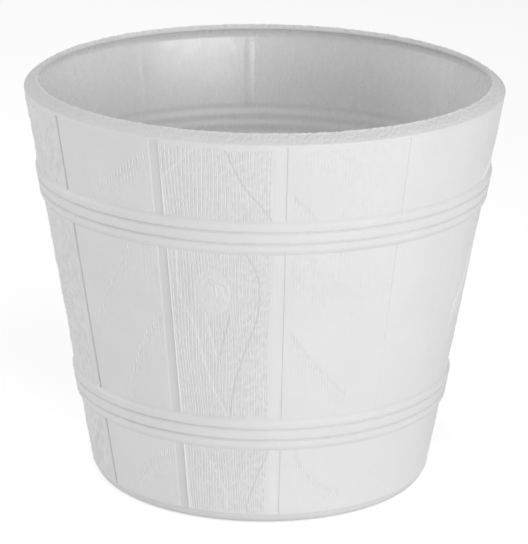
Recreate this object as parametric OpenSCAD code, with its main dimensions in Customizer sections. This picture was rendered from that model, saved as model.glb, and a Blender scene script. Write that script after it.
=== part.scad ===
// Round florist bucket made to look like a small wooden barrel.
// The real thing is one thin-walled plastic moulding, so the model is one sub-part: a tapering wall
// of twelve stave panels, two bands of three beads, a sloping rim with a lip, a floor and a foot ring.
// Millimetres, +Z up, origin at the middle of the foot, where the bucket stands on a surface.

/* [Body] */
// Outer diameter at the outer edge of the rim
rim_d = 300; // [280:1:340]
// Full height, from the foot to the inner edge of the rim
height = 258.4; // [230:0.1:300]
// Diameter that the tapering wall would reach at the level of the foot
base_d = 213.4; // [190:0.1:230]
// Thickness of the wall
wall = 2.5; // [2:0.1:4]
// Thickness of the floor
floor_t = 3; // [2:0.1:5]

/* [Rim] */
// Width of the sloping rim face, measured outwards
rim_w = 8.5; // [6:0.1:12]
// Rise of the rim face from its outer edge to its inner edge
rim_rise = 5.3; // [3:0.1:8]
// Height of the crown of the rim face over a straight slope
rim_crown = 0.5; // [0:0.1:1]
// Height of the upright inner face of the lip
lip_h = 3.3; // [2:0.1:5]
// Height of the hollow under the lip, from the lip down to the wall
cove_h = 6.4; // [4:0.1:10]

/* [Bands] */
// Height of the middle of the upper band
upper_band_z = 194.2; // [170:0.1:215]
// Height of the middle of the lower band
lower_band_z = 63.2; // [50:0.1:90]
// Number of beads in each band
band_beads = 3; // [1:1:4]
// Distance from one bead to the next
bead_pitch = 7.35; // [5:0.05:9]
// How far a bead stands out from the wall
bead_out = 2.1; // [1:0.1:3]
// Depth of the hollow that each bead leaves on the inside
bead_in = 1.2; // [0:0.1:2]

/* [Stave joints] */
// Number of staves round the bucket
staves = 12; // [6:1:16]
// Direction of the first joint's left edge, in degrees from the front (-Y) towards +X
first_joint = 3; // [-15:1:15]
// Width of the flat strip at each joint
joint_w = 6.3; // [3:0.1:9]
// Depth of the strip below the faces of the staves
joint_depth = 0.6; // [0.3:0.1:1.2]

/* [Foot] */
// Outer diameter of the foot where it stands
foot_d = 199.2; // [180:0.1:205]
// Width of the flat ring that the bucket stands on
foot_w = 5; // [3:0.1:8]
// Height at which the stave faces end
foot_h = 7; // [5:0.1:10]
// Step from the stave faces in to the smooth foot
foot_step = 1; // [0.5:0.1:2]
// Depth of the hollow under the floor
foot_hollow = 3.5; // [2:0.1:5]
// Radius of the inside corner between the floor and the wall
corner_r = 6; // [3:0.5:10]

/* [Hidden] */
rim_r = rim_d / 2;
lip_r = rim_r - rim_w;
base_r = base_d / 2;
foot_r = foot_d / 2;
rim_edge_z = height - rim_rise;
// Outward growth of the wall for each millimetre of height
taper = (rim_r - base_r) / rim_edge_z;
// Thickness of the sloping wall measured level
wall_level = wall * sqrt(1 + taper * taper);
floor_z = foot_hollow + floor_t;
cove_z = height - lip_h;
wall_top_z = cove_z - cove_h;
// Spacing of the outline's points on the bands, on the rounded corners in degrees, and on the rim
band_step = bead_pitch / 14;
turn_step = 15;
rim_steps = 5;
// Radius of a bead whose arc meets the wall half a pitch from its middle
bead_r = (pow(bead_pitch / 2, 2) + bead_out * bead_out) / (2 * bead_out);
band_half = bead_pitch * band_beads / 2;
// Overlap that keeps cutting shapes clear of the faces they cut through
clear = 2;
// Gap between a joint strip and the band, rim or foot beyond its end
strip_gap = 0.8;

function wall_r(z) = base_r + taper * z;

function bead_middle(band_z, i) = band_z + (i - (band_beads - 1) / 2) * bead_pitch;

// Height of the round beads over the wall at height z
function bead_rise(z, band_z) = max(0, max([for (i = [0 : band_beads - 1])
    let (d = min(abs(z - bead_middle(band_z, i)), bead_r))
    sqrt(bead_r * bead_r - d * d) - bead_r + bead_out]));

// Depth of the soft hollows inside the beads at height z
function bead_hollow(z, band_z) =
    bead_in * (1 + cos(360 * (z - bead_middle(band_z, 0)) / bead_pitch)) / 2;

// Outline of one band on the outside, from its lower edge to its upper edge
function band_outside(band_z) = [for (t = [-band_half : band_step : band_half + band_step / 2])
    [wall_r(band_z + t) + bead_rise(band_z + t, band_z), band_z + t]];

// Outline of one band on the inside, from its upper edge to its lower edge
function band_inside(band_z) = [for (t = [band_half : -band_step : -band_half - band_step / 2])
    [wall_r(band_z + t) - wall_level + bead_hollow(band_z + t, band_z), band_z + t]];

// Smooth foot: a quarter of an ellipse from the standing ring up to the end of the staves
foot_top_r = wall_r(foot_h) - foot_step;
foot_curve = [for (a = [0 : turn_step : 90])
    [foot_r + (foot_top_r - foot_r) * sin(a), foot_h * (1 - cos(a))]];

// Rim face from its outer edge to its inner edge, crowned between them
rim_face = [for (i = [0 : rim_steps])
    let (t = i / rim_steps, crown = rim_crown * sin(180 * t))
    [rim_r - rim_w * t + crown / 2, rim_edge_z + rim_rise * t + crown]];

// Hollow under the lip, from the lip's lower edge out and down to the wall
cove_r = wall_r(wall_top_z) - wall_level;
cove_curve = [for (a = [0 : turn_step : 90])
    [lip_r + (cove_r - lip_r) * sin(a), cove_z - cove_h * (1 - cos(a))]];

// Inside corner between the wall and the floor
corner_mid_r = wall_r(floor_z + corner_r) - wall_level - corner_r;
corner_curve = [for (a = [0 : turn_step : 90])
    [corner_mid_r + corner_r * cos(a), floor_z + corner_r * (1 - sin(a))]];

profile = concat(
    foot_curve,
    [[wall_r(foot_h), foot_h]],
    band_outside(lower_band_z),
    band_outside(upper_band_z),
    rim_face,
    cove_curve,
    band_inside(upper_band_z),
    band_inside(lower_band_z),
    corner_curve,
    [[0, floor_z], [0, foot_hollow], [foot_r - foot_w, foot_hollow], [foot_r - foot_w, 0]]
);

// Skin of the wall between two heights, as deep as a joint strip and open to the outside
module joint_skin(low, high) {
    rotate_extrude($fn = 96)
        polygon([
            [wall_r(low) - joint_depth, low],
            [wall_r(low) + clear, low],
            [wall_r(high) + clear, high],
            [wall_r(high) - joint_depth, high]
        ]);
}

// Upright slabs, one at each joint, that hold the strips' width
module joint_slabs() {
    for (i = [0 : staves - 1])
        rotate([0, 0, first_joint + i * 360 / staves])
            translate([0, -rim_r - clear, 0])
                cube([joint_w, rim_r - foot_r / 2, height]);
}

// Joint strips in the three stretches of wall that the bands leave free
module joint_strips() {
    intersection() {
        union() {
            joint_skin(foot_h + strip_gap, lower_band_z - band_half - strip_gap);
            joint_skin(lower_band_z + band_half + strip_gap, upper_band_z - band_half - strip_gap);
            joint_skin(upper_band_z + band_half + strip_gap, rim_edge_z - strip_gap);
        }
        joint_slabs();
    }
}

module bucket() {
    color("whitesmoke")
        difference() {
            rotate_extrude($fn = 96)
                polygon(profile);
            joint_strips();
        }
}

bucket();
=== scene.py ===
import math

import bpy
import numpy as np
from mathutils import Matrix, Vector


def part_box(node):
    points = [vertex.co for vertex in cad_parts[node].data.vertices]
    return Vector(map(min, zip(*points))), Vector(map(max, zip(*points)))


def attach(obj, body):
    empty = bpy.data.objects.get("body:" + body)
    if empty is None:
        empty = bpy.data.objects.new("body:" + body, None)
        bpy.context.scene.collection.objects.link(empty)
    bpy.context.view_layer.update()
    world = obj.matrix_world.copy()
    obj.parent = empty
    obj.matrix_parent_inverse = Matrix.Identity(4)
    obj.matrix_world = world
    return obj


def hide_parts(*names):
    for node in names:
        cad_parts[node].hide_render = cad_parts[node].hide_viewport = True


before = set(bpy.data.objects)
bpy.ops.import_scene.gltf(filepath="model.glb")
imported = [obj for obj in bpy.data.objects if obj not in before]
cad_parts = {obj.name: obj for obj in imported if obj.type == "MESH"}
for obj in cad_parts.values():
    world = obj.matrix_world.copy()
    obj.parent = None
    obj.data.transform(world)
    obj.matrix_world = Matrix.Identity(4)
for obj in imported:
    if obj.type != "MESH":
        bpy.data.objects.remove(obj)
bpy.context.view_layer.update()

# White florist bucket, moulded in one piece to look like a small wooden barrel.
#
# The moulding is one closed mesh that stands for the CAD node "bucket". Its outline runs from the middle
# of the underside, out and up the outside, over the rim and down the inside to the middle of the floor.
# Each outline point becomes a ring of vertices, and the wood relief is added to the rings of the wall.
# Sizes are in millimetres and become metres when the mesh is made. Angles turn from the front towards +X.

MM = 0.001
low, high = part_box("bucket")

# ---------------------------------------------------------------- sizes of the moulding

HEIGHT = (high.z - low.z) / MM
RIM_R = high.x / MM
BASE_R = 106.7  # radius that the tapering wall would reach at the level of the foot
WALL = 2.54  # thickness of the sloping wall, measured level
RIM_W = 8.5
RIM_RISE = 5.3  # the rim face slopes up towards its inner edge
RIM_CROWN = 0.3
RIM_EDGE_Z = HEIGHT - RIM_RISE
TAPER = (RIM_R - BASE_R) / RIM_EDGE_Z
LIP_R = RIM_R - RIM_W
LIP_FACE = 3.3  # height of the upright inner face of the lip
COVE_H = 6.4  # height of the hollow curve under the lip
OUTER_EDGE = 0.7  # rounding of the rim's outer edge
INNER_EDGE = 0.35  # and of its inner edge
BURR_RISE = 0.22  # a low burr along the inner edge
RIM_GRAIN = 0.3
EDGE_WOBBLE = 0.25  # how unevenly the inner edge runs

BAND_MIDDLES = (63.2, 194.2)
BEADS = 3
BEAD_PITCH = 7.35
BEAD_OUT = 2.1
BEAD_IN = 0.36  # depth of the hollow that a bead leaves on the inside
GROOVE = 1.8  # depth of the narrow grooves between the beads
CROWN = 0.3  # part of that depth that goes into the beads' crown
BAND_HALF = BEAD_PITCH * BEADS / 2

FOOT_R = 99.6
FOOT_W = 5
FOOT_H = 7
FOOT_STEP = 1
FOOT_EDGE = 0.35  # rounding of the step between the foot and the wall
FLOOR_UNDER = 3.5
FLOOR_TOP = 6.5
CORNER_R = 6
DISC_R = 90  # radius of the flat parts of the underside and the floor
GATE_R = 2.6  # a small mark in the middle of the underside, where the plastic came in
GATE_DEPTH = 0.45

STAVES = 12
STAVE_ANGLE = math.radians(30)
FIRST_JOINT = math.radians(3)
JOINT_W = 6.3
JOINT_DEPTH = 0.6
JOINT_DEPTHS = {  # joints that differ: depth at the left and at the right edge of the strip
    0: (0.05, 0.6),
    1: (0.05, 0.8),
    2: (0.15, 0.05),
    10: (0.3, 0.02),
    11: (0.45, 0.85),
}
JOINT_GHOST = 0.06  # what is left of a joint's depth where it crosses a band
JOINT_ROUND = 0.2  # rounding of the boards' long edges
FADING_JOINT = 1  # the joint that runs out towards the foot
FADE_START = 15  # it has run out below this height
FADE_HEIGHT = 190  # and has its full depth this much higher
PARTING_JOINTS = (4, 10)  # joints that also carry the deep groove where the mould parts
PARTING_W = 1.8
PARTING_DEPTH = 1.5
INSIDE_JOINT = 0.24  # how far a joint's strip stands into the inside
INSIDE_LOW = 20  # the inside's relief starts here
INSIDE_TOP = 14  # and ends this far below the top
INSIDE_R = 120  # mean radius of the inside

BOARD_TOP = 249.8  # the wood grain ends here, below the rim
RIM_LINE = 251.7  # a fine step under the rim
RIM_LINE_OUT = 0.14
BAND_WAVE = 0.035  # slow unevenness of the bands
WALL_WAVE = 0.05  # of the whole outside
STRIP_WAVE = 0.02  # of the joint strips
INSIDE_WAVE = 0.06  # and of the inside

# ---------------------------------------------------------------- shade
# Every vertex carries a number for its painted shade. Above 0 its colour is darker, as painted shade in
# grooves, hollows and on the foot, and below 0 it is paler, as a painted highlight on raised edges.

SHADE_RANGE = (-1, 3)
SHADE_COLOURS = (1.09, 0.73)  # factors of the colour at the ends of that range: painted highlight and painted shade
# painted highlight along the rim's inner edge
INNER_EDGE_PALE = 1.1
# painted shade on the foot ring, below the step
FOOT_SHADE = 0.9
BEAD_SHADE = 0.6  # painted shade in the grooves between the beads
# painted shade in the deep parting groove
PARTING_SHADE = 2.6
# painted shade on one joint's strip
STRIP_SHADE = 0.5
SHADED_JOINT = 11  # the joint whose strip gets painted shade
HOLLOW_SHADE = 2.6  # painted shade in the hollows of a board's waves
LINE_SHADE = 1.2  # painted shade in the groove along a terrace's line

# ---------------------------------------------------------------- mesh spacing

# Columns beside a board's left edge, beside its right edge, and beside a strip's edges
LEFT_STEPS = np.array([0, 0.08, 0.18, 0.3, 0.45, 0.6, 0.78, 1.0, 1.25])
RIGHT_STEPS = np.array([1.5, 1.05, 0.7, 0.45, 0.3, 0.18, 0.08])
STRIP_STEPS = np.array([0, 0.12, 0.28, 0.5, 0.8])
STRIP_CELLS = 16
LANES = 29  # lanes of grain across a board
LANE_CELLS = 6
CRISP_CELLS = (5, 0, 1, 2)  # the cells of a lane that make a stroke's slopes, shaded without smoothing
STROKE_LEFT = 0.5  # reach of a stroke's gentle left slope from its middle
STROKE_RIGHT = 0.27  # and of its steep right slope
STROKE_FLOOR = 0.09  # half the width of its bottom
LANES_FROM_LEFT = 0.9  # the lanes start this far from the last of the left columns
LANES_FROM_RIGHT = 0.7
LANE_SHIFT = 0.12  # how unevenly the lanes lie, as a share of their pitch
LANE_SWAY = 0.05
SWAY_HEIGHT = 6.5  # millimetres of height for each radian of it
LANE_BEND = 0.4  # how far neighbouring lanes bend together
BEND_HEIGHT = 17  # the same for the bend
BOARD_CELLS = len(LEFT_STEPS) + LANES * LANE_CELLS + len(RIGHT_STEPS)
STAVE_CELLS = STRIP_CELLS + BOARD_CELLS
COLUMNS = STAVES * STAVE_CELLS
COARSE = 4  # the inside and the underside take every fourth column
COARSE_COLUMNS = COLUMNS // COARSE
BOARD_ROW = 0.85
BAND_ROW = 0.42
RIM_ROW = 0.28
INSIDE_ROW = 5
INSIDE_BAND_ROW = 0.6

LANE_SEED = 300
WOOD_SEED = 100
OUTSIDE_SEED = 7
INSIDE_SEED = 11


def smooth(t):
    """0 below 0, 1 above 1, and an even slope between them."""
    t = np.clip(t, 0, 1)
    return t * t * (3 - 2 * t)


def beyond(distance, soft=0.7):
    """0 on one side of a line and 1 on the other, turning over the width soft."""
    return smooth(distance / soft + 0.5)


def rows_between(start, stop, step):
    """Evenly spaced places from start to stop, about a step apart."""
    return np.linspace(start, stop, max(2, round(abs(stop - start) / step) + 1))


def wall_r(z):
    """Radius of the plain wall's outside."""
    return BASE_R + TAPER * z


def bead_middles():
    """Height of each bead's middle."""
    return [z + (i - (BEADS - 1) / 2) * BEAD_PITCH for z in BAND_MIDDLES for i in range(BEADS)]


def bead_rise(z):
    """How far the beads stand out at each height."""
    off = np.min([np.abs(z - middle) for middle in bead_middles()], axis=0)
    off = np.minimum(off * 2 / BEAD_PITCH, 1)
    from_band = np.min([np.abs(z - middle) for middle in BAND_MIDDLES], axis=0)
    outer_side = from_band > BAND_HALF - BEAD_PITCH / 2
    shoulder = BEAD_OUT * (0.35 * (1 - off ** 2) + 0.65 * (1 - smooth(off)))
    flank = BEAD_OUT - CROWN * off ** 2 - (GROOVE - CROWN) * smooth((off - 0.7) / 0.26)
    return np.where(outer_side, shoulder, flank)


def in_band(z, soft=0.5):
    """1 on the bands and 0 on the boards."""
    return sum(beyond(BAND_HALF - np.abs(z - middle), soft) for middle in BAND_MIDDLES)


def bead_hollow(z):
    """Depth of the soft hollows that the beads leave on the inside."""
    off = np.min([np.abs(z - middle) for middle in bead_middles()], axis=0)
    return BEAD_IN * (1 + np.cos(2 * math.pi * np.minimum(off, BEAD_PITCH / 2) / BEAD_PITCH)) / 2


def column_angles(z):
    """Angle of every column at each height. The boards' edges lie on columns."""
    z = np.clip(z, 0, RIM_EDGE_Z)[:, None]
    r = wall_r(z)
    staves = []
    for k in range(STAVES):
        across = np.concatenate([strip_places(r), JOINT_W + board_places(k, z)], axis=1)
        staves.append(FIRST_JOINT + k * STAVE_ANGLE + across / r)
    return np.concatenate(staves, axis=1)


def strip_places(rows):
    """Places of a strip's columns from its left edge, once for each row."""
    cells_between = STRIP_CELLS - 2 * len(STRIP_STEPS) + 3
    inner = np.linspace(STRIP_STEPS[-1], JOINT_W - STRIP_STEPS[-1], cells_between)
    places = np.concatenate([STRIP_STEPS[:-1], inner, JOINT_W - STRIP_STEPS[-2:0:-1]])
    return np.broadcast_to(places, (len(rows), STRIP_CELLS))


def board_width(z):
    """Width of a board at each height, between the strips beside it."""
    return wall_r(z) * STAVE_ANGLE - JOINT_W


def board_places(stave, z):
    """Places of a board's columns from its left edge, at each height. Six of them follow each lane."""
    rng = np.random.default_rng(LANE_SEED + stave)
    shift = rng.uniform(-1, 1, LANES)
    phase = rng.uniform(0, 2 * math.pi, LANES)
    width = board_width(z)
    first = LEFT_STEPS[-1] + LANES_FROM_LEFT
    last = width - RIGHT_STEPS[0] - LANES_FROM_RIGHT
    number = np.arange(LANES)
    bend = LANE_BEND * np.sin(z / BEND_HEIGHT + 0.25 * number + 2 * stave)
    sway = LANE_SWAY * np.sin(z / SWAY_HEIGHT + phase)
    lane = number + 0.5 + LANE_SHIFT * shift + sway + bend
    middle = first + (last - first) * lane / LANES
    after = np.concatenate([middle[:, 1:] - STROKE_LEFT, width - RIGHT_STEPS[0]], axis=1)
    gap = (after - middle - STROKE_RIGHT) / 3
    lanes = [middle - STROKE_LEFT, middle - STROKE_FLOOR, middle + STROKE_FLOOR, middle + STROKE_RIGHT]
    lanes += [middle + STROKE_RIGHT + gap, middle + STROKE_RIGHT + 2 * gap]
    grain = np.stack(lanes, axis=2).reshape(len(z), -1)
    left = np.broadcast_to(LEFT_STEPS, (len(z), len(LEFT_STEPS)))
    return np.concatenate([left, grain, width - RIGHT_STEPS], axis=1)


# ---------------------------------------------------------------- the boards' wood relief
# A line is a list of (place across the board from 0 to 1, height).
# A terrace is the stretch between a left and a right line that lies a little lower. Where a line is None,
# the terrace is one-sided: it fades out away from its line, and strokes of grain hang below that line.
# A knot is (place, height, half width, half height, cracks), with its cracks seen from its middle.
# A patch of grain is (first place, last place, lowest height, highest height, share of the lanes, depth).

TERRACE_DEPTH = 0.4
SIDE_TERRACE = 0.1  # depth of a one-sided terrace at its line
SIDE_FADE = 14
LINE_GROOVE = 0.35  # a fine groove along the right line of a terrace
LINE_W = 0.45
STROKE_DEPTH = 0.38
STROKE_BURR = 1.0  # the raised left edge of a stroke, as a share of its depth
STROKE_GAP = (0.3, 1.8)  # shortest and longest gap between the strokes of a lane
STROKE_LENGTH = (3.2, 8.5)
STROKE_STRENGTH = (0.55, 1.0)
STROKE_END = 1.1  # length of a stroke's ends
STROKE_SHADES = ((0, 0.4, 0), (1, 0.9, 0), (2, 0, 1.5), (3, 0, 1.0))  # column of the lane, paler as a painted highlight on the raised edge, darker as painted shade in the groove
HANGING_STROKES = 4
HANGING_RISE = 0.36  # height of the raised edges of the highest hanging strokes
HANGING_GROOVE = 0.6  # depth of a hanging stroke, as a share of that height
HANGING_START = (0.2, 0.8)  # distance from the line down to the first stroke
HANGING_LENGTH = (4.0, 6.5)
HANGING_STRENGTH = (0.7, 1.0)
HANGING_GAP = 0.9
HANGING_FADE = 0.6  # each stroke is this much weaker than the one above it
RIDGE_RISE = 0.3
RIDGE_W = 0.6
KNOT_LEVEL = 0.4  # a knot's face lies this deep, unless the board says how deep
KNOT_RINGS = ((1.0, 0.12), (0.62, 0.12), (0.3, 0.08))  # size and depth of a knot's rings
KNOT_RING_W = 0.5
KNOT_GRAIN = 0.18
CRACK_RISE = 0.5
CRACK_W = 0.45
WOOD_FROM_LEFT = 1.0  # the wood's relief starts this far from a board's left edge
WOOD_FROM_RIGHT = 1.6

KNOT_BOARD = {
    "terraces": [
        ([(0.0, 204), (0.0, 229), (0.17, 239), (0.35, 251)],
         [(0.99, 204), (0.8, 220), (0.69, 230), (0.6, 245), (0.56, 251)]),
        ([(0.53, 74), (0.41, 90), (0.33, 106), (0.22, 137), (0.12, 149), (0.08, 162), (0.1, 184)],
         [(0.56, 74), (0.6, 95), (0.72, 119), (0.8, 132),
          (0.86, 146), (0.87, 159), (0.84, 171), (0.73, 184)]),
        ([(0.44, 115), (0.37, 133), (0.335, 143)], [(0.46, 115), (0.56, 137), (0.585, 143)]),
        ([(0.5, 10), (0.49, 22), (0.34, 40), (0.2, 54)], [(0.71, 10), (0.76, 20), (0.85, 33), (0.99, 54)]),
    ],
    "ridges": [[(0.69, 149), (0.66, 160), (0.57, 168), (0.5, 172)], [(0.02, 230), (0.1, 236), (0.2, 241)]],
    "knots": [
        (0.43, 157, 10.5, 15.0, [(-4.4, 11.4, 8.8, 4.2), (-2.2, 7.3, 3.3, 4.2), (1.1, 6.0, 1.6, -1.0)]),
    ],
    "patches": [(0, 1, 0, 260, 1.0, 1.0)],
    "wave": 0.05,
    "left_bead": 1.0,
}
FLAME_BOARD = {
    "terraces": [
        ([(0.1, 204), (0.38, 216), (0.61, 227), (0.8, 237), (0.99, 245)], None),
        ([(0.02, 119), (0.12, 132), (0.25, 139), (0.34, 151), (0.48, 164), (0.61, 176), (0.74, 184)], None),
        ([(0.38, 74), (0.5, 90), (0.58, 99), (0.71, 116), (0.8, 126), (0.99, 138)], None),
        ([(0.36, 20), (0.56, 34), (0.71, 40), (0.99, 49)], None),
    ],
    "ridges": [[(0.63, 127), (0.66, 135), (0.62, 142), (0.5, 148)]],
    "knots": [(0.52, 134, 8.0, 9.5, [])],
    "knot_level": 0,
    "patches": [(0.84, 1, 160, 186, 0.7, 0.4), (0.6, 0.9, 215, 235, 0.5, 0.25)],
    "wave": 0.1,
}
STREAK_BOARD = {
    "terraces": [
        (None, [(0.3, 204), (0.16, 214), (0.03, 223)]),
        (None, [(0.74, 90), (0.51, 102), (0.36, 110), (0.17, 123), (0.05, 132)]),
        (None, [(0.78, 22), (0.54, 28), (0.39, 33), (0.29, 39), (0.14, 52)]),
    ],
    "ridges": [],
    "knots": [],
    "patches": [
        (0.1, 0.95, 236, 252, 0.8, 0.4),
        (0.5, 0.93, 206, 240, 0.8, 0.35),
        (0.02, 0.28, 155, 186, 0.9, 0.5),
        (0.25, 0.62, 150, 186, 0.7, 0.4),
        (0.62, 0.95, 130, 186, 0.6, 0.25),
        (0.02, 0.3, 90, 118, 0.5, 0.25),
    ],
    "wave": 0.04,
}
MOTTLED_BOARD = {
    "terraces": [
        ([(0.8, 204), (0.85, 212), (0.9, 220), (0.97, 231)], None),
        ([(0.45, 20), (0.63, 35), (0.74, 40), (0.86, 52)], None),
        ([(0.3, 120), (0.5, 146), (0.75, 170)], None),
    ],
    "ridges": [],
    "knots": [],
    "patches": [(0, 1, 0, 260, 0.3, 0.5)],
    "wave": 0.4,
}
PLAIN_BOARD = {
    "terraces": [(None, [(0.5, 12), (0.3, 20), (0.1, 32)])],
    "ridges": [],
    "knots": [],
    "patches": [(0.02, 0.15, 200, 252, 0.4, 0.25), (0.02, 0.12, 120, 186, 0.4, 0.2)],
    "wave": 0.05,
}
# Boards in order round the bucket, starting with the one to the right of the first joint
BOARDS = (
    STREAK_BOARD, PLAIN_BOARD, FLAME_BOARD, KNOT_BOARD, STREAK_BOARD, MOTTLED_BOARD,
    FLAME_BOARD, KNOT_BOARD, PLAIN_BOARD, MOTTLED_BOARD, FLAME_BOARD, KNOT_BOARD,
)


def line_place(line, z):
    """Where a line runs at each height, across the board from 0 to 1, with its corners smoothed."""
    points = sorted((height, place) for place, height in line)
    heights = [p[0] for p in points]
    places = [p[1] for p in points]
    return sum(np.interp(z + shift, heights, places) for shift in (-5, -2.5, 0, 2.5, 5)) / 5


def line_reach(line, z, soft=4):
    """1 between the ends of a line and 0 above and below them."""
    heights = [height for place, height in line]
    return beyond(z - min(heights), soft) * beyond(max(heights) - z, soft)


def cloud(rng, x, y, cell_x, cell_y):
    """Smooth random field from about -1 to 1, with features of the given size."""
    x, y = np.broadcast_arrays(x / cell_x, y / cell_y)
    x0 = np.floor(x).astype(int)
    y0 = np.floor(y).astype(int)
    lattice = rng.uniform(-1, 1, (y0.max() + 2, x0.max() + 2))
    tx = smooth(x - x0)
    ty = smooth(y - y0)
    lower = lattice[y0, x0] * (1 - tx) + lattice[y0, x0 + 1] * tx
    upper = lattice[y0 + 1, x0] * (1 - tx) + lattice[y0 + 1, x0 + 1] * tx
    return lower * (1 - ty) + upper * ty


def hanging_lines(board):
    """The lines of a board's one-sided terraces."""
    return [left or right for left, right in board["terraces"] if left is None or right is None]


def patch_at(board, place, height):
    """Share of lanes and depth of the grain at a point: the patch that lies there, or nothing."""
    for first, last, lowest, highest, share, depth in board["patches"]:
        if first <= place <= last and lowest <= height <= highest:
            return share, depth
    return 0, 0


def lane_strokes(rng, board, place):
    """Strokes down one lane of a board, as (lower end, upper end, depth, height of the raised edge)."""
    strokes = []
    stop = rng.uniform(0, 5)
    while stop < HEIGHT:
        start = stop + rng.uniform(*STROKE_GAP)
        stop = start + rng.uniform(*STROKE_LENGTH)
        share, depth = patch_at(board, place, (start + stop) / 2)
        strength = rng.uniform(*STROKE_STRENGTH)
        if rng.random() < share:
            size = STROKE_DEPTH * depth * strength
            strokes.append((start, stop, size, STROKE_BURR * size))
    for line in hanging_lines(board):
        points = sorted(line)
        if points[0][0] <= place <= points[-1][0]:
            line_z = np.interp(place, [p[0] for p in points], [p[1] for p in points])
            top = line_z - rng.uniform(*HANGING_START)
            strength = HANGING_RISE
            for _ in range(HANGING_STROKES):
                length = rng.uniform(*HANGING_LENGTH)
                size = strength * rng.uniform(*HANGING_STRENGTH)
                strokes.append((top - length, top, HANGING_GROOVE * size, size))
                top -= length + HANGING_GAP
                strength *= HANGING_FADE
    return strokes


def grain_relief(rng, board, z):
    """Depth of the strokes at each row and column of a board, below 0 on raised edges, and their painted
    shade and highlights.
    """
    depth = np.zeros((len(z), BOARD_CELLS))
    shade = np.zeros((len(z), BOARD_CELLS))
    for lane in range(LANES):
        sunk = np.zeros(len(z))
        raised = np.zeros(len(z))
        for start, stop, groove, burr in lane_strokes(rng, board, (lane + 0.5) / LANES):
            ends = smooth(np.minimum(z[:, 0] - start, stop - z[:, 0]) / STROKE_END)
            sunk = np.maximum(sunk, groove * ends)
            raised = np.maximum(raised, burr * ends)
        column = len(LEFT_STEPS) + lane * LANE_CELLS
        depth[:, column] = -raised
        depth[:, column + 1] = sunk
        depth[:, column + 2] = 0.85 * sunk
        # painted highlight on each stroke's raised edge and painted shade in its groove
        for cell, pale, dark in STROKE_SHADES:
            shade[:, column + cell] = (dark * sunk - pale * raised) / STROKE_DEPTH
    return depth, shade


def knot_distance(knot, places, z, width):
    """Distance of each point from a knot's middle, 1 at its outer ring."""
    middle, height, half_w, half_h = knot[:4]
    return np.sqrt(((places - middle * width) / half_w) ** 2 + ((z - height) / half_h) ** 2)


def knot_relief(rng, board, places, z, width):
    """Rings, grain and cracks of the board's knots."""
    relief = np.zeros(places.shape)
    for knot in board["knots"]:
        middle, height, half_w, _, cracks = knot
        wobble = 0.1 * cloud(rng, places, z, 4, 4)
        ring = knot_distance(knot, places, z, width) + wobble
        for size, depth in KNOT_RINGS:
            relief -= depth * np.exp(-((ring - size) * half_w / KNOT_RING_W) ** 2)
        relief += KNOT_GRAIN * beyond(1 - ring, 0.4) * cloud(rng, places, z, 1.3, 1.6)
        x = places - middle * width
        y = z - height
        for x0, y0, x1, y1 in cracks:
            length = math.hypot(x1 - x0, y1 - y0)
            along = ((x - x0) * (x1 - x0) + (y - y0) * (y1 - y0)) / length
            across = ((x - x0) * (y1 - y0) - (y - y0) * (x1 - x0)) / length
            reach = beyond(along, 1) * beyond(length - along, 1)
            relief += CRACK_RISE * reach * np.exp(-(across / CRACK_W) ** 2)
    return relief


def add_terraces(board, place, z, width, relief, cut, shade):
    """Relief, strokes and shade of a board after its terraces are sunk and their lines are cut."""
    for left, right in board["terraces"]:
        two_sided = left is not None and right is not None
        sunk = 1
        for line, side in ((left, 1), (right, -1)):
            if line is None:
                continue
            gap = side * (place - line_place(line, z)) * width
            reach = line_reach(line, z)
            sunk = sunk * beyond(gap, 0.5) * reach
            if two_sided:
                near = reach * np.exp(-(gap / LINE_W) ** 2)
                groove = LINE_GROOVE * near * (side < 0)
                cut = cut * (1 - near) + groove
                # painted shade in the groove along the right line
                shade = shade * (1 - near) + LINE_SHADE * groove
        if not two_sided:
            gap = np.abs(place - line_place(left or right, z)) * width
            sunk = sunk * np.exp(-gap / SIDE_FADE)
        relief = relief - (TERRACE_DEPTH if two_sided else SIDE_TERRACE) * sunk
    return relief, cut, shade


def left_bead(board, places, z):
    """A bead along the board's left edge, lower towards the top and with a slope on its right."""
    rise = board.get("left_bead", 0) * (1.2 - z / HEIGHT)
    bead = rise * smooth(places / 0.4) - np.clip(1.25 * (places - 0.5), 0, rise)
    return bead * (places < 2)


def board_relief(rng, board, places, z, width):
    """Relief of one board outwards, without the rounding of its long edges, and its shade."""
    place = places / width
    relief = board["wave"] * cloud(rng, places, z, 2.8, 4.0)
    relief += board["wave"] * 0.8 * cloud(rng, places, z, 1.3, 2.2)
    cut, shade = grain_relief(rng, board, z)
    relief, cut, shade = add_terraces(board, place, z, width, relief, cut, shade)
    for line in board["ridges"]:
        gap = (place - line_place(line, z)) * width
        relief += RIDGE_RISE * np.exp(-(gap / RIDGE_W) ** 2) * line_reach(line, z)
    for knot in board["knots"]:
        ring = knot_distance(knot, places, z, width)
        around = beyond(ring - 1.05, 0.15)
        cut = cut * around
        shade = shade * around
        outside = beyond(ring - 1.0, 0.2)
        relief = relief * outside - board.get("knot_level", KNOT_LEVEL) * (1 - outside)
    relief += knot_relief(rng, board, places, z, width)
    margin = beyond(places - WOOD_FROM_LEFT, 0.5) * beyond(width - WOOD_FROM_RIGHT - places, 0.8)
    # painted shade in the hollows of the waves
    shade = shade + HOLLOW_SHADE * board["wave"] * np.clip(-relief, -0.5, 1)
    return (relief - cut) * margin + left_bead(board, places, z), shade * margin


def joint_depth(stave, strip, z, free):
    """Depth of a joint's strip, which slopes from its left edge to its right edge."""
    left, right = JOINT_DEPTHS.get(stave, (JOINT_DEPTH, JOINT_DEPTH))
    if stave == FADING_JOINT:
        right = right * smooth((z - FADE_START) / FADE_HEIGHT)
    depth = left + (right - left) * strip / JOINT_W
    return JOINT_GHOST + (depth - JOINT_GHOST) * free


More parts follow.
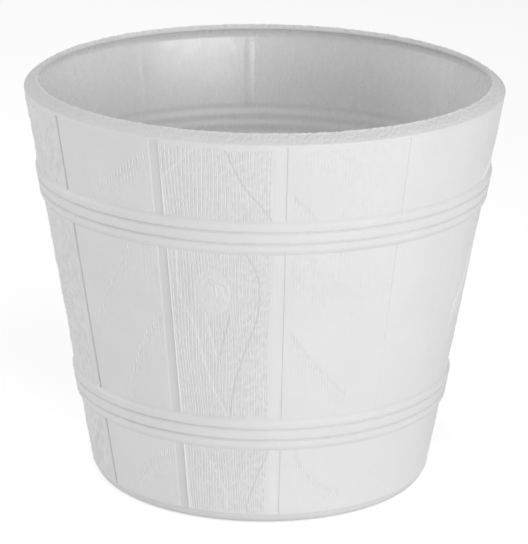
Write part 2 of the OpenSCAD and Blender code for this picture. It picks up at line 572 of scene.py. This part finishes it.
def wall_relief(z):
    """Relief of the whole wall outwards at these heights, and its shade."""
    z = z[:, None]
    width = board_width(z)
    strip = strip_places(z)
    grain = (1 - in_band(z, 0.6)) * beyond(z - FOOT_H - 0.9, 0.8) * beyond(BOARD_TOP - z, 0.6)
    free = (1 - in_band(z, 1.2)) * beyond(z - FOOT_H - 1.0, 0.8) * beyond(RIM_EDGE_Z - 1.2 - z, 0.8)
    relief_parts = []
    shade_parts = []
    for k, board in enumerate(BOARDS):
        rng = np.random.default_rng(WOOD_SEED + k)
        places = board_places(k, z)
        joint = joint_depth(k, strip, z, free)
        rounding = np.minimum(JOINT_ROUND, np.maximum(joint, 0.02) / 3)
        fall = smooth(strip / STRIP_STEPS[3]) * smooth((JOINT_W - strip) / STRIP_STEPS[1])
        sunk = rounding + (joint - rounding) * fall
        sunk = sunk + STRIP_WAVE * cloud(rng, strip, z, 2.5, 9) * free
        groove = np.zeros(sunk.shape)
        if k in PARTING_JOINTS:
            groove = beyond(strip - 0.06, 0.08) * beyond(PARTING_W - strip, 0.3) * free
        left_fall = rounding[:, -1:] * np.clip(1 - places / JOINT_ROUND, 0, 1) ** 2
        after = joint_depth((k + 1) % STAVES, strip[:, :1], z, free)
        right_round = np.minimum(JOINT_ROUND, after / 3)
        right_fall = right_round * np.clip(1 - (width - places) / JOINT_ROUND, 0, 1) ** 2
        wood, wood_shade = board_relief(rng, board, places, z, width)
        # painted shade in the parting groove and on one joint's strip
        strip_shade = STRIP_SHADE * free * (k == SHADED_JOINT)
        relief_parts += [-sunk - PARTING_DEPTH * groove, wood * grain - left_fall - right_fall]
        shade_parts += [np.maximum(PARTING_SHADE * groove, strip_shade), wood_shade * grain]
    relief = np.concatenate(relief_parts, axis=1) + RIM_LINE_OUT * beyond(z - RIM_LINE, 0.35)
    return relief, np.concatenate(shade_parts, axis=1)


# ---------------------------------------------------------------- the outline, from underside to floor


def corner(before_point, point, after_point, radius, steps=4):
    """Points that round a corner of the outline."""
    p, q, r = (np.array(v, float) for v in (before_point, point, after_point))
    start = q + (p - q) / np.linalg.norm(p - q) * radius
    stop = q + (r - q) / np.linalg.norm(r - q) * radius
    t = np.linspace(0, 1, steps + 1)[:, None]
    return start * (1 - t) ** 2 + 2 * q * t * (1 - t) + stop * t ** 2


def rim_point(t):
    """Point of the rim face, from its outer edge at 0 to its inner edge at 1."""
    burr = BURR_RISE * smooth((t - 0.82) / 0.1) * smooth((1.02 - t) / 0.06)
    crown = RIM_CROWN * np.sin(math.pi * t) + burr
    return np.stack([RIM_R - RIM_W * t + crown / 2, RIM_EDGE_Z + RIM_RISE * t + crown], axis=-1)


def underside_outline():
    """From the gate mark out over the flat underside and down to the foot."""
    ring_r = FOOT_R - FOOT_W
    gate_top = FLOOR_UNDER - GATE_DEPTH
    gate = [[GATE_R - 0.6, gate_top], [GATE_R - 0.3, gate_top + 0.05], [GATE_R, FLOOR_UNDER]]
    disc = [[r, FLOOR_UNDER] for r in (6, 20, 40, 60, 80, DISC_R)]
    top = corner([DISC_R, FLOOR_UNDER], [ring_r, FLOOR_UNDER], [ring_r, 0], 0.8)
    foot = corner([ring_r, FLOOR_UNDER], [ring_r, 0], [FOOT_R, 0], 0.6)
    return np.concatenate([gate, disc, top, foot])


def foot_outline():
    """The foot's rounded outside, and the small step from it out to the wall."""
    wall_foot = wall_r(FOOT_H)
    top_r = wall_foot - FOOT_STEP
    turn = np.linspace(0, math.pi / 2, 12)
    curve = np.stack([FOOT_R + (top_r - FOOT_R) * np.sin(turn), FOOT_H * (1 - np.cos(turn))], axis=1)
    edge = corner([top_r, FOOT_H], [wall_foot, FOOT_H], [wall_r(FOOT_H + 1), FOOT_H + 1], FOOT_EDGE)
    return np.concatenate([[[FOOT_R - 1, 0]], curve, edge[:-1]])


def wall_heights():
    """Heights of the wall's rings: close together on the bands and at the ends of the boards."""
    ends = np.array([0, 0.2, 0.5, 0.9, 1.4])
    board_end = ends[-1]
    parts = []
    start = FOOT_H + FOOT_EDGE
    for middle in BAND_MIDDLES:
        stop = middle - BAND_HALF
        board = rows_between(start + board_end, stop - board_end, BOARD_ROW)
        parts += [start + ends[:-1], board, stop - ends[-2:0:-1]]
        parts += [rows_between(stop, middle + BAND_HALF, BAND_ROW)[:-1]]
        start = middle + BAND_HALF
    parts += [start + ends[:-1], rows_between(start + board_end, BOARD_TOP - 0.8, BOARD_ROW)]
    parts += [rows_between(BOARD_TOP - 0.4, RIM_EDGE_Z - OUTER_EDGE, RIM_ROW)]
    return np.concatenate(parts)


def rim_outline():
    """From the rounded outer edge over the rim face to the inner edge."""
    face = rim_point(np.linspace(OUTER_EDGE / RIM_W, 1 - INNER_EDGE / RIM_W, 22))
    outer = corner([wall_r(RIM_EDGE_Z - 1), RIM_EDGE_Z - 1], rim_point(0.0), face[0], OUTER_EDGE, 5)
    inner = corner(face[-1], rim_point(1.0), [LIP_R, HEIGHT - 1], INNER_EDGE, 5)
    return np.concatenate([outer[1:], face[1:-1], inner])


def inside_outline():
    """From the lip down the inside: the cove, the wall with its hollows, the round corner and the floor."""
    cove_z = HEIGHT - LIP_FACE
    wall_top = cove_z - COVE_H
    cove_out = wall_r(wall_top) - WALL - LIP_R
    lip = corner([LIP_R, HEIGHT], [LIP_R, cove_z], [LIP_R + 1, cove_z], 0.35, 3)
    turn = np.linspace(0.12, math.pi / 2, 10)
    cove = np.stack([LIP_R + cove_out * np.sin(turn), cove_z - COVE_H * (1 - np.cos(turn))], axis=1)
    heights = []
    start = wall_top - 0.4
    for middle in reversed(BAND_MIDDLES):
        heights += [rows_between(start, middle + BAND_HALF + 1, INSIDE_ROW)]
        heights += [rows_between(middle + BAND_HALF, middle - BAND_HALF, INSIDE_BAND_ROW)]
        start = middle - BAND_HALF - 1
    heights += [rows_between(start, FLOOR_TOP + CORNER_R, INSIDE_ROW)]
    z = np.concatenate(heights)
    wall = np.stack([wall_r(z) - WALL + bead_hollow(z) * in_band(z, 0.1), z], axis=1)
    corner_mid = wall_r(FLOOR_TOP + CORNER_R) - WALL - CORNER_R
    turn = np.linspace(0.15, math.pi / 2, 9)
    bend_z = FLOOR_TOP + CORNER_R * (1 - np.sin(turn))
    bend = np.stack([corner_mid + CORNER_R * np.cos(turn), bend_z], axis=1)
    disc = [[r, FLOOR_TOP] for r in (DISC_R, 70, 50, 30, 12)]
    return np.concatenate([lip, cove, wall, bend, disc])


# ---------------------------------------------------------------- rings of vertices


def ring_points(radius, z, angles):
    """Vertices of rings, with radius and z for each ring, or for each ring and column."""
    return np.stack([radius * np.sin(angles), -radius * np.cos(angles), z + 0 * angles], axis=-1)


def rough_rim(rng, arc, radius, z):
    """The rim's rings with grain on their face and an uneven inner edge, and a painted highlight along that
    edge.
    """
    ring = np.arange(len(radius))[:, None]
    to_end = len(radius) - ring
    face = smooth((ring - 3) / 4) * smooth(to_end / 3)
    inward = RIM_R - radius + 2
    grain = cloud(rng, arc, inward, 1.1, 0.9)
    grain += 0.5 * cloud(rng, arc, inward, 4.0, 2.5)
    wobble = cloud(rng, arc, 0, 1.6, 1) * smooth((9 - to_end) / 5)
    # painted highlight along the inner edge, where it catches the light
    wear_and_sheen = smooth((10 - to_end) / 3) * (0.7 + cloud(rng, arc, 0, 2.0, 1))
    return radius + EDGE_WOBBLE * wobble, z + RIM_GRAIN * grain * face, -INNER_EDGE_PALE * wear_and_sheen


def fine_rings():
    """Rings of the foot, the wall and the rim, with their relief, and the shade of each vertex."""
    foot = foot_outline()
    heights = wall_heights()
    beads = bead_rise(heights)
    wall = np.stack([wall_r(heights) + beads * in_band(heights, 0.1), heights], axis=1)
    lip = [[LIP_R, HEIGHT - OUTER_EDGE - 0.3]]
    outline = np.concatenate([foot, wall, rim_outline(), lip])
    angles = column_angles(outline[:, 1])
    radius = np.repeat(outline[:, :1], COLUMNS, axis=1)
    z = np.repeat(outline[:, 1:], COLUMNS, axis=1)
    shade = np.zeros(radius.shape)
    # painted shade on the foot ring, below the step
    shade[:len(foot)] = FOOT_SHADE

    on_wall = slice(len(foot), len(foot) + len(wall))
    relief, wood_shade = wall_relief(heights)
    radius[on_wall] += relief
    rng = np.random.default_rng(OUTSIDE_SEED)
    arc = (angles[on_wall] - FIRST_JOINT) * radius[on_wall]
    on_band = in_band(heights, 0.5)[:, None]
    radius[on_wall] += BAND_WAVE * cloud(rng, arc, z[on_wall], 14, 6) * on_band
    below_rim = 1 - beyond(z[on_wall] - RIM_EDGE_Z + 3, 4)
    radius[on_wall] += WALL_WAVE * cloud(rng, arc, z[on_wall], 30, 22) * below_rim
    # painted shade in the grooves between the beads
    groove = smooth((0.7 - beads / BEAD_OUT) / 0.7)[:, None] * on_band
    shade[on_wall] = wood_shade + BEAD_SHADE * groove

    on_rim = slice(on_wall.stop, len(outline))
    arc = (angles[on_rim] - FIRST_JOINT) * RIM_R
    radius[on_rim], z[on_rim], shade[on_rim] = rough_rim(rng, arc, radius[on_rim], z[on_rim])
    return ring_points(radius, z, angles), shade, outline


def underside_rings():
    """Rings of the underside, on every fourth column."""
    outline = underside_outline()
    angles = column_angles(np.full(len(outline), FLOOR_UNDER))[:, ::COARSE]
    return ring_points(outline[:, :1], outline[:, 1:], angles), outline


def inside_rings():
    """Rings of the inside, on every fourth column, with the backs of the joint strips."""
    outline = inside_outline()
    angles = column_angles(np.maximum(outline[:, 1], FLOOR_TOP))[:, ::COARSE]
    z = outline[:, 1:]
    from_joint = np.mod(angles - FIRST_JOINT, STAVE_ANGLE) * wall_r(z)
    across = np.minimum(from_joint, np.abs(JOINT_W - from_joint))
    strip = np.where(from_joint <= JOINT_W, smooth(across / 1.2), 0)
    free = (1 - in_band(z, 3)) * beyond(z - INSIDE_LOW, 8) * beyond(HEIGHT - INSIDE_TOP - z, 6)
    rng = np.random.default_rng(INSIDE_SEED)
    wave = INSIDE_WAVE * cloud(rng, (angles - FIRST_JOINT) * INSIDE_R, z, 45, 60)
    wave = wave * beyond(z - INSIDE_LOW, 10) * beyond(HEIGHT - INSIDE_TOP - z, 6)
    radius = outline[:, :1] - INSIDE_JOINT * strip * free + wave
    return ring_points(radius, z, angles), outline


# ---------------------------------------------------------------- mesh
# Bake coordinates: the outside lies as two strips above each other, the inside wall as one strip above
# them, and the underside and the floor as discs beside them.

BAKE_UNIT = 720  # millimetres of surface that the whole bake square stands for
INSIDE_SCALE = 0.55
OUTSIDE_SHARE = 0.645  # share of the bake square's width
INSIDE_SHARE = 0.6
BAKE_MARGIN = 0.005
UNDERSIDE_MIDDLE = (0.79, 0.16)
FLOOR_MIDDLE = (0.79, 0.48)


def grid_faces(first, rows, columns):
    """Quads between rings that follow each other."""
    row, column = np.meshgrid(np.arange(rows - 1), np.arange(columns), indexing="ij")
    after = (column + 1) % columns
    low_row = row * columns
    high_row = low_row + columns
    quads = [low_row + column, low_row + after, high_row + after, high_row + column]
    return first + np.stack(quads, axis=-1).reshape(-1, 4)


def grid_uv(places, columns, strips=1):
    """Bake coordinates of grid_faces in this many strips round the bucket, and each face's strip."""
    row, column = np.meshgrid(np.arange(len(places) - 1), np.arange(columns), indexing="ij")
    share = columns // strips
    u = (column % share) / share
    step = 1 / share
    corners = [(u, places[row]), (u + step, places[row]), (u + step, places[row + 1]), (u, places[row + 1])]
    uv = np.stack([np.stack(pair, axis=-1) for pair in corners], axis=-2).reshape(-1, 4, 2)
    return uv, (column // share).ravel()


def disc_uv(corners, middle):
    """Bake coordinates of faces that lie flat, seen from above."""
    return corners[..., :2] / BAKE_UNIT + np.array(middle)


def path_length(outline):
    """Length along the outline from its first point, in bake units."""
    steps = np.linalg.norm(np.diff(outline, axis=0), axis=1)
    return np.concatenate([[0], np.cumsum(steps)]) / BAKE_UNIT


def crisp_columns():
    """Which columns of faces are slopes of strokes. They are shaded without smoothing."""
    cell = np.arange(COLUMNS) % STAVE_CELLS - STRIP_CELLS - len(LEFT_STEPS)
    in_lanes = (cell >= -1) & (cell < LANES * LANE_CELLS)
    return in_lanes & np.isin(cell % LANE_CELLS, CRISP_CELLS)


def outside_uv(fine):
    """Bake coordinates of the outside's faces, and the height that they take."""
    length = path_length(fine)
    uv, strip = grid_uv(length, COLUMNS, 2)
    uv[..., 0] = uv[..., 0] * OUTSIDE_SHARE + BAKE_MARGIN
    uv[..., 1] += BAKE_MARGIN + strip[:, None] * (length[-1] + 2 * BAKE_MARGIN)
    return uv, 2 * length[-1] + 6 * BAKE_MARGIN


def inside_uv(inner, bottom, corners):
    """Bake coordinates of the inside's faces: the wall as a strip from bottom up, and the floor as a disc."""
    uv, _ = grid_uv(path_length(inner) * INSIDE_SCALE, COARSE_COLUMNS)
    uv[..., 0] = uv[..., 0] * INSIDE_SHARE + BAKE_MARGIN
    uv[..., 1] += bottom
    first_floor = int(np.argmax(inner[:, 1] < FLOOR_TOP + 0.01))
    on_floor = np.repeat(np.arange(len(inner) - 1) >= first_floor, COARSE_COLUMNS)
    uv[on_floor] = disc_uv(corners[on_floor], FLOOR_MIDDLE)
    return uv


def lip_uv(bottom):
    """Bake coordinates of the seam between the fine rings and the inside, under the inside's strip."""
    j = np.arange(COARSE_COLUMNS)[:, None]
    places = np.concatenate([j + np.arange(COARSE + 1) / COARSE, j + 1, j], axis=1)
    u = places / COARSE_COLUMNS * INSIDE_SHARE + BAKE_MARGIN
    v = np.full(u.shape, bottom)
    v[:, :COARSE + 1] -= 2 * INSIDE_SCALE / BAKE_UNIT
    return np.stack([u, v], axis=-1)


def seam_faces(fine_ring, coarse_ring, fine_above):
    """Faces between a fine and a coarse ring, given by their first vertices, one for each coarse column."""
    j = np.arange(COARSE_COLUMNS)
    after = (j + 1) % COARSE_COLUMNS
    fan = fine_ring + np.stack([(j * COARSE + i) % COLUMNS for i in range(COARSE + 1)], axis=1)
    if fine_above:
        return np.concatenate([coarse_ring + np.stack([j, after], axis=1), fan[:, ::-1]], axis=1)
    return np.concatenate([fan, coarse_ring + np.stack([after, j], axis=1)], axis=1)


def hub_faces(middle, ring, faces_down):
    """Triangles from a coarse ring, given by its first vertex, to the vertex in its middle."""
    j = np.arange(COARSE_COLUMNS)
    after = (j + 1) % COARSE_COLUMNS
    hub = np.full(COARSE_COLUMNS, middle)
    corners = [hub, ring + after, ring + j] if faces_down else [ring + j, ring + after, hub]
    return np.stack(corners, axis=1)


def build_mesh():
    """Vertices, face corners, face sizes, bake coordinates, which faces are crisp, and vertex values."""
    under_points, under = underside_rings()
    fine_points, fine_shade, fine = fine_rings()
    in_points, inner = inside_rings()
    middles = np.array([[0, 0, under[0, 1]], [0, 0, FLOOR_TOP]])
    points = [under_points.reshape(-1, 3), fine_points.reshape(-1, 3), in_points.reshape(-1, 3), middles]
    co = np.concatenate(points)
    fine_first = len(points[0])
    in_first = fine_first + len(points[1])
    under_middle = in_first + len(points[2])
    floor_middle = under_middle + 1

    under_faces = grid_faces(0, len(under), COARSE_COLUMNS)
    outer_faces = grid_faces(fine_first, len(fine), COLUMNS)
    inner_faces = grid_faces(in_first, len(inner), COARSE_COLUMNS)
    foot_seam = seam_faces(fine_first, fine_first - COARSE_COLUMNS, fine_above=True)
    lip_seam = seam_faces(in_first - COLUMNS, in_first, fine_above=False)
    under_hub = hub_faces(under_middle, 0, faces_down=True)
    floor_hub = hub_faces(floor_middle, under_middle - COARSE_COLUMNS, faces_down=False)
    outer_uv, taken = outside_uv(fine)
    inner_uv = inside_uv(inner, taken, co[inner_faces])
    patches = [
        (under_faces, disc_uv(co[under_faces], UNDERSIDE_MIDDLE)),
        (outer_faces, outer_uv),
        (inner_faces, inner_uv),
        (foot_seam, disc_uv(co[foot_seam], UNDERSIDE_MIDDLE)),
        (lip_seam, lip_uv(inner_uv[..., 1].min())),
        (under_hub, disc_uv(co[under_hub], UNDERSIDE_MIDDLE)),
        (floor_hub, disc_uv(co[floor_hub], FLOOR_MIDDLE)),
    ]
    loops = np.concatenate([faces.ravel() for faces, _ in patches])
    sizes = np.concatenate([np.full(len(faces), faces.shape[1]) for faces, _ in patches])
    uv = np.concatenate([face_uv.reshape(-1, 2) for _, face_uv in patches])

    crisp = np.zeros(len(sizes), bool)
    crisp[len(under_faces):len(under_faces) + len(outer_faces)] = np.tile(crisp_columns(), len(fine) - 1)
    shade = np.zeros(len(co))
    shade[fine_first:in_first] = fine_shade.ravel()
    inside = np.zeros(len(co))
    inside[in_first:under_middle] = 1
    inside[floor_middle] = 1
    return co, loops, sizes, uv, crisp, {"shade": shade, "inside": inside}


def make_moulding():
    """The Blender object of the moulding."""
    co, loops, sizes, uv, crisp, vertex_values = build_mesh()
    mesh = bpy.data.meshes.new("bucket_moulding")
    mesh.vertices.add(len(co))
    mesh.vertices.foreach_set("co", (co * MM).astype(np.float32).ravel())
    mesh.loops.add(len(loops))
    mesh.loops.foreach_set("vertex_index", loops.astype(np.int32))
    mesh.polygons.add(len(sizes))
    starts = np.concatenate([[0], np.cumsum(sizes)[:-1]]).astype(np.int32)
    mesh.polygons.foreach_set("loop_start", starts)
    mesh.polygons.foreach_set("use_smooth", ~crisp)
    layer = mesh.uv_layers.new(name="OFBake")
    layer.data.foreach_set("uv", uv.astype(np.float32).ravel())
    for name, values in vertex_values.items():
        attribute = mesh.attributes.new(name, "FLOAT", "POINT")
        attribute.data.foreach_set("value", values.astype(np.float32))
    mesh.update(calc_edges=True)
    mesh.validate()
    piece = bpy.data.objects.new("bucket_moulding", mesh)
    bpy.context.scene.collection.objects.link(piece)
    return piece


# ---------------------------------------------------------------- plastic

TINTS = (0.85, 0.88)  # darkest and palest white, where the plastic flowed differently
TINT_SIZE = 38
PLASTIC_IOR = 1.49
OUTER_ROUGHNESS = 0.46
INNER_ROUGHNESS = 0.28  # the inside comes off the polished half of the mould
ROUGHNESS_SPREAD = (-0.04, 0.05)
WEAR_SIZE = 9
GLOSS = (0.5, 1.0)  # specular level outside and inside
GRAIN_SIZE = 0.9
SLOW_SIZE = 6
SLOW_HEIGHT = 0.5
STREAK_SIZE = 1.6  # fine upright streaks of the inside
STREAK_STRETCH = 0.03
STREAK_HEIGHT = 5
BUMP_STRENGTH = 0.35
BUMP_HEIGHT = 0.06


def feed(tree, socket, value):
    """Sets a socket to a number, or links it to another socket."""
    if isinstance(value, bpy.types.NodeSocket):
        tree.links.new(value, socket)
    else:
        socket.default_value = value


def node(tree, kind, **inputs):
    """A shader node, with numbers or links for its named inputs."""
    made = tree.nodes.new(kind)
    for name, value in inputs.items():
        feed(tree, made.inputs[name.replace("_", " ")], value)
    return made


def noise(tree, place, size, detail=2.0):
    """Noise with features of this size in millimetres."""
    scale = 1 / (size * MM)
    return node(tree, "ShaderNodeTexNoise", Vector=place, Scale=scale, Detail=detail).outputs["Fac"]


def mapped(tree, value, outputs, inputs=(0.3, 0.7)):
    """The value, stretched from the range inputs to the range outputs."""
    limits = {"From_Min": inputs[0], "From_Max": inputs[1], "To_Min": outputs[0], "To_Max": outputs[1]}
    return node(tree, "ShaderNodeMapRange", Value=value, **limits).outputs["Result"]


def maths(tree, operation, first, second):
    """Result of an operation on two numbers or sockets."""
    made = tree.nodes.new("ShaderNodeMath")
    made.operation = operation
    feed(tree, made.inputs[0], first)
    feed(tree, made.inputs[1], second)
    return made.outputs["Value"]


def mixed(tree, kind, factor, first, second, blend="MIX"):
    """Mix of two colours, where the kind is RGBA, or of two numbers, where it is FLOAT."""
    made = tree.nodes.new("ShaderNodeMix")
    made.data_type = kind
    made.blend_type = blend
    for name, value in (("Factor", factor), ("A", first), ("B", second)):
        feed(tree, made.inputs[name], value)
    return made.outputs["Result"]


def vertex_value(tree, name):
    """One of the numbers that make_moulding gives each vertex."""
    made = tree.nodes.new("ShaderNodeAttribute")
    made.attribute_name = name
    return made.outputs["Fac"]


def white_plastic():
    """Satin white plastic: a little glossier inside, with painted shade in grooves and a painted highlight on
    edges.
    """
    material = bpy.data.materials.new("white_plastic")
    material.use_nodes = True
    tree = material.node_tree
    shader = tree.nodes["Principled BSDF"]
    place = tree.nodes.new("ShaderNodeTexCoord").outputs["Object"]
    inside = vertex_value(tree, "inside")

    # colour, with the painted shade and painted highlights of the vertices' shade
    flow = mapped(tree, noise(tree, place, TINT_SIZE, 3), (0.0, 1.0))
    dark, pale = ((white, white, white, 1) for white in TINTS)
    tint = mixed(tree, "RGBA", flow, dark, pale)
    shaded = mapped(tree, vertex_value(tree, "shade"), SHADE_COLOURS, SHADE_RANGE)
    feed(tree, shader.inputs["Base Color"], mixed(tree, "RGBA", 1, tint, shaded, "MULTIPLY"))

    # gloss
    wear_and_sheen = mapped(tree, noise(tree, place, WEAR_SIZE, 3), ROUGHNESS_SPREAD)
    outer = maths(tree, "ADD", wear_and_sheen, OUTER_ROUGHNESS)
    inner = maths(tree, "ADD", wear_and_sheen, INNER_ROUGHNESS)
    feed(tree, shader.inputs["Roughness"], mixed(tree, "FLOAT", inside, outer, inner))
    feed(tree, shader.inputs["Specular IOR Level"], mapped(tree, inside, GLOSS, (0, 1)))
    shader.inputs["IOR"].default_value = PLASTIC_IOR

    # bump: fine grain outside, upright streaks inside, and a slow unevenness all over
    fine = maths(tree, "MULTIPLY", noise(tree, place, GRAIN_SIZE, 3), maths(tree, "SUBTRACT", 1.0, inside))
    slow = maths(tree, "MULTIPLY", noise(tree, place, SLOW_SIZE, 2), SLOW_HEIGHT)
    upright = node(tree, "ShaderNodeMapping", Vector=place, Scale=(1, 1, STREAK_STRETCH)).outputs["Vector"]
    streaks = noise(tree, upright, STREAK_SIZE, 2)
    streaks = maths(tree, "MULTIPLY", streaks, maths(tree, "MULTIPLY", inside, STREAK_HEIGHT))
    height = maths(tree, "ADD", maths(tree, "ADD", fine, slow), streaks)
    bump = node(tree, "ShaderNodeBump", Strength=BUMP_STRENGTH, Distance=BUMP_HEIGHT * MM, Height=height)
    feed(tree, shader.inputs["Normal"], bump.outputs["Normal"])
    return material


# ---------------------------------------------------------------- studio

VIEW_ELEVATION = math.radians(17.461)
VIEW_ROLL = math.radians(0.747)
VIEW_DISTANCE = 1967.05
VIEW_AIM = Vector((1.02, 0, 129.59))
LENS = 204.6
FLOOR_SIZE = 30.0  # metres
FLOOR_DROP = 0.0001  # metres below the foot
FLOOR_COLOUR = 0.9
FLOOR_GLOW = 0.09  # light that the floor gives of itself
FLOOR_SHOWN = 0.38  # extra that only the camera sees, so that the floor looks white
WORLD_GLOW = 0.425  # light from all around
WORLD_SHOWN = 0.425  # extra that only the camera sees, so that the sky is as pale as the far floor
LAMP_DISTANCE = 2.2  # metres, from the middle of the bucket
LAMPS = {  # azimuth and elevation in degrees, width and height in metres, watts
    "key": (55, 48, 0.9, 0.9, 2.8),
    "window": (35, 12, 1.8, 0.5, 13.5),
    "front": (0, 34, 0.9, 0.9, 3.4),
    "left": (-105, 20, 0.9, 0.9, 9.8),
}


def soft_box(name, azimuth, elevation, width, height, energy):
    """Rectangular lamp that faces the middle of the bucket and doesn't show itself."""
    lamp = bpy.data.lights.new(name, "AREA")
    lamp.shape = "RECTANGLE"
    lamp.size = width
    lamp.size_y = height
    lamp.energy = energy
    made = bpy.data.objects.new(name, lamp)
    turn = math.radians(azimuth)
    rise = math.radians(elevation)
    way = Vector((math.sin(turn) * math.cos(rise), -math.cos(turn) * math.cos(rise), math.sin(rise)))
    made.location = Vector((0, 0, HEIGHT / 2 * MM)) + way * LAMP_DISTANCE
    made.rotation_euler = way.to_track_quat("Z", "Y").to_euler()
    made.visible_camera = False
    bpy.context.scene.collection.objects.link(made)


def glow_and_shown(tree, glow, shown):
    """Strength of a light that looks brighter to the camera than it is."""
    path = tree.nodes.new("ShaderNodeLightPath")
    return maths(tree, "ADD", maths(tree, "MULTIPLY", path.outputs["Is Camera Ray"], shown), glow)


def make_floor():
    """A plain pale floor that glows a little, as a lightbox does."""
    half = FLOOR_SIZE / 2
    mesh = bpy.data.meshes.new("floor")
    corners = [(-half, -half, 0), (half, -half, 0), (half, half, 0), (-half, half, 0)]
    mesh.from_pydata(corners, [], [(0, 1, 2, 3)])
    floor = bpy.data.objects.new("floor", mesh)
    floor.location.z = -FLOOR_DROP
    bpy.context.scene.collection.objects.link(floor)
    material = bpy.data.materials.new("pale_floor")
    material.use_nodes = True
    tree = material.node_tree
    shader = tree.nodes["Principled BSDF"]
    shader.inputs["Base Color"].default_value = (FLOOR_COLOUR, FLOOR_COLOUR, FLOOR_COLOUR, 1)
    shader.inputs["Roughness"].default_value = 0.9
    shader.inputs["Specular IOR Level"].default_value = 0.0
    shader.inputs["Emission Color"].default_value = (1, 1, 1, 1)
    feed(tree, shader.inputs["Emission Strength"], glow_and_shown(tree, FLOOR_GLOW, FLOOR_SHOWN))
    mesh.materials.append(material)


def make_camera():
    """The photograph's view: from the front, a little from above and slightly rolled."""
    camera = bpy.data.objects.new("camera", bpy.data.cameras.new("camera"))
    camera.data.lens = LENS
    camera.data.clip_end = 50
    back = Vector((0, -math.cos(VIEW_ELEVATION), math.sin(VIEW_ELEVATION)))
    right = Vector((1, 0, 0))
    up = back.cross(right)
    turned_right = right * math.cos(VIEW_ROLL) + up * math.sin(VIEW_ROLL)
    turned_up = up * math.cos(VIEW_ROLL) - right * math.sin(VIEW_ROLL)
    axes = Matrix((turned_right, turned_up, back)).transposed()
    camera.matrix_world = Matrix.Translation((VIEW_AIM + back * VIEW_DISTANCE) * MM) @ axes.to_4x4()
    bpy.context.scene.collection.objects.link(camera)
    bpy.context.scene.camera = camera


def make_light():
    """Soft light from all around and four soft lamps."""
    world = bpy.data.worlds.new("studio")
    world.use_nodes = True
    background = world.node_tree.nodes["Background"]
    background.inputs["Color"].default_value = (1, 1, 1, 1)
    strength = glow_and_shown(world.node_tree, WORLD_GLOW, WORLD_SHOWN)
    feed(world.node_tree, background.inputs["Strength"], strength)
    bpy.context.scene.world = world
    for name, settings in LAMPS.items():
        soft_box(name, *settings)
    bpy.context.scene.view_settings.view_transform = "Standard"


moulding = make_moulding()
moulding.data.materials.append(white_plastic())
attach(moulding, "root")
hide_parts("bucket")
make_floor()
make_camera()
make_light()
